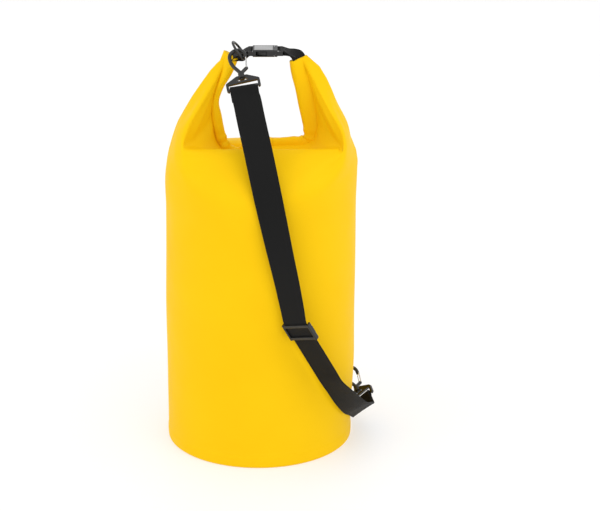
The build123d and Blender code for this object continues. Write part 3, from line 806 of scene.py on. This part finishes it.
def make_anchor_patch():
    """A patch of tarpaulin welded to the wall, with pressed-down edges and round corners."""
    middle, half_wide, half_tall, corner = RING_ANGLE + 10, 37 * MM, 32 * MM, 9 * MM
    levels = np.concatenate([[-1, -0.97], np.linspace(-0.9, 0.9, 19), [0.97, 1]])
    grid = np.zeros((len(levels), len(levels), 3))
    for j, v in enumerate(levels):
        cut = max(0.0, abs(v) * half_tall - (half_tall - corner))
        reach = half_wide - corner + math.sqrt(max(corner ** 2 - cut ** 2, 0.0))
        for i, u in enumerate(levels):
            edge = max(abs(u), abs(v))
            lift = (0.35 if edge > 0.98 else 1.15) * MM
            degrees = middle - math.degrees(u * reach / RADIUS)
            grid[j, i] = on_wall(degrees, lift, ANCHOR_MIDDLE + v * half_tall)
    patch = sheet("anchor_patch_weld", grid, grid_normals(grid, False), False, 0.9 * MM, YELLOW)
    stand_for(patch, "bag", "tarpaulin", "anchor_patch")


def make_anchor_tab():
    """Webbing sewn on the patch, looped round the lower ring's bar and back on itself."""
    angle = math.radians(RING_ANGLE)
    out = np.array((math.cos(angle), math.sin(angle), 0))
    side = np.array((-math.sin(angle), math.cos(angle), 0))
    bar = out * RING_REACH + np.array((0, 0, ANCHOR_MIDDLE))
    turn = np.radians(np.linspace(60, 290, 12))
    loop = [bar + (side * math.cos(a) + out * math.sin(a)) * ANCHOR_WRAP * MM for a in turn]
    under = [on_wall(RING_ANGLE + d, 1.9 * MM, ANCHOR_MIDDLE) for d in (3, 6, 12, 19)]
    over = [on_wall(RING_ANGLE + d, 3.3 * MM, ANCHOR_MIDDLE) for d in (19, 14, 9, 5)]
    path = smooth_path(np.array(over + loop + under), 160)
    across = np.tile((0.0, 0.0, 1.0), (len(path), 1))
    tab = swept("anchor_tab", path, across, band_profile(TAB_WIDTH, 1.3 * MM), BLACK)
    stand_for(tab, "bag", "webbing", "anchor_tab_webbing")


# ---- stitching -------------------------------------------------------------------------
def stitch(point, along, face, length, width):
    """One thread stitch as a small rounded pad lying on the webbing."""
    sideways = np.cross(face, along)
    rows = []
    turn = 2 * np.pi * np.arange(6) / 6
    ring = (np.outer(np.cos(turn), sideways) + np.outer(np.sin(turn), face)) * width / 2
    for share, size in ((-0.5, 0.3), (-0.35, 0.85), (0, 1.0), (0.35, 0.85), (0.5, 0.3)):
        rows.append(point + along * (share * length) + ring * size)
    return np.array(rows)


def stitch_line(points, face):
    """Vertices and faces for a row of stitches along a polyline."""
    count = max(2, round(path_length(points) / (2.6 * MM)))
    line = spaced(np.asarray(points, float), count)
    vertices, faces = [], []
    for a, b in zip(line[:-1], line[1:]):
        rows = stitch((a + b) / 2, unit(b - a), face, 1.9 * MM, 0.55 * MM)
        faces += grid_faces(5, 6, True, len(vertices))
        faces.append(tuple(len(vertices) + k for k in reversed(range(6))))
        faces.append(tuple(len(vertices) + 24 + k for k in range(6)))
        vertices += [tuple(v) for v in rows.reshape(-1, 3)]
    return vertices, faces


def box_stitch(name, centre, wide, tall, width, height, body):
    """A sewn box with a cross in it."""
    face = np.cross(wide, tall)
    signs = ((-1, -1), (1, -1), (1, 1), (-1, 1))
    a, b, c, d = (centre + wide * x * width / 2 + tall * y * height / 2 for x, y in signs)
    vertices, faces = [], []
    for line in ((a, b), (b, c), (c, d), (d, a), (a, c), (b, d)):
        points, rings = stitch_line(line, face)
        faces += [tuple(k + len(vertices) for k in ring) for ring in rings]
        vertices += points
    piece = add_mesh(name, np.array(vertices), faces, THREAD)
    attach(piece, body)


def make_stitching():
    """The sewn box that holds the anchor tab to its patch."""
    place = RING_ANGLE + 12
    angle = math.radians(place)
    side = np.array((-math.sin(angle), math.cos(angle), 0))
    middle = on_wall(place, 4.05 * MM, ANCHOR_MIDDLE)
    box_stitch("anchor_stitching", middle, side, np.array((0, 0, 1.0)), 14 * MM, 18 * MM, "bag")


# ---- stage ---------------------------------------------------------------------------
CAMERA_AIM = Vector((0.0576, 0.0, 0.2655))
CAMERA_DISTANCE = 3.3092
CAMERA_PITCH = math.radians(20)
CAMERA_LENS = 142.7        # millimetres, on a sensor 36 mm wide


def make_floor():
    n = Nodes("white_floor")
    n.set(Base_Color=n.ramp(n.noise(3.0), grey(0.49), grey(0.51)), Roughness=0.6)
    n.set(Emission_Color=grey(1), Emission_Strength=0.47)
    mesh = bpy.data.meshes.new("floor")
    mesh.from_pydata([(-6, -6, 0), (6, -6, 0), (6, 6, 0), (-6, 6, 0)], [], [(0, 1, 2, 3)])
    mesh.materials.append(n.material)
    floor = bpy.data.objects.new("floor", mesh)
    bpy.context.scene.collection.objects.link(floor)


def make_lights():
    world = bpy.data.worlds.new("studio")
    bpy.context.scene.world = world
    world.use_nodes = True
    tree = world.node_tree
    sky = tree.nodes["Background"]
    sky.inputs["Color"].default_value = (1, 1, 1, 1)
    path = tree.nodes.new("ShaderNodeLightPath")
    strength = tree.nodes.new("ShaderNodeMapRange")
    strength.inputs["To Min"].default_value = 0.98
    strength.inputs["To Max"].default_value = 1.1
    tree.links.new(path.outputs["Is Camera Ray"], strength.inputs["Value"])
    tree.links.new(strength.outputs["Result"], sky.inputs["Strength"])
    for name, place, size, power in (
        ("left_softbox", (-1.9, -0.9, 1.3), 1.4, 7),
        ("right_softbox", (2.0, -0.8, 1.2), 1.4, 4),
        ("top_softbox", (0.9, -1.5, 2.4), 1.6, 11),
    ):
        light = bpy.data.lights.new(name, "AREA")
        light.size = size
        light.energy = power
        lamp = bpy.data.objects.new(name, light)
        bpy.context.scene.collection.objects.link(lamp)
        lamp.location = place
        aim = Vector((0, 0, 0.27)) - Vector(place)
        lamp.rotation_euler = aim.to_track_quat("-Z", "Y").to_euler()


def make_camera():
    data = bpy.data.cameras.new("camera")
    data.sensor_width = 36
    data.lens = CAMERA_LENS
    camera = bpy.data.objects.new("camera", data)
    bpy.context.scene.collection.objects.link(camera)
    forward = Vector((0, math.cos(CAMERA_PITCH), -math.sin(CAMERA_PITCH)))
    camera.location = CAMERA_AIM - forward * CAMERA_DISTANCE
    camera.rotation_euler = (math.pi / 2 - CAMERA_PITCH, 0, 0)
    bpy.context.scene.camera = camera


dress_cad_nodes()
wall_grid, wall_normals, crease_row = make_bag()
make_base()
make_seam_tape(wall_grid, wall_normals, crease_row)
make_roll()
make_tabs()
make_strap()
make_slider_fold()
make_anchor_patch()
make_anchor_tab()
make_stitching()
make_floor()
make_lights()
make_camera()
bpy.context.scene.view_settings.view_transform = "Standard"
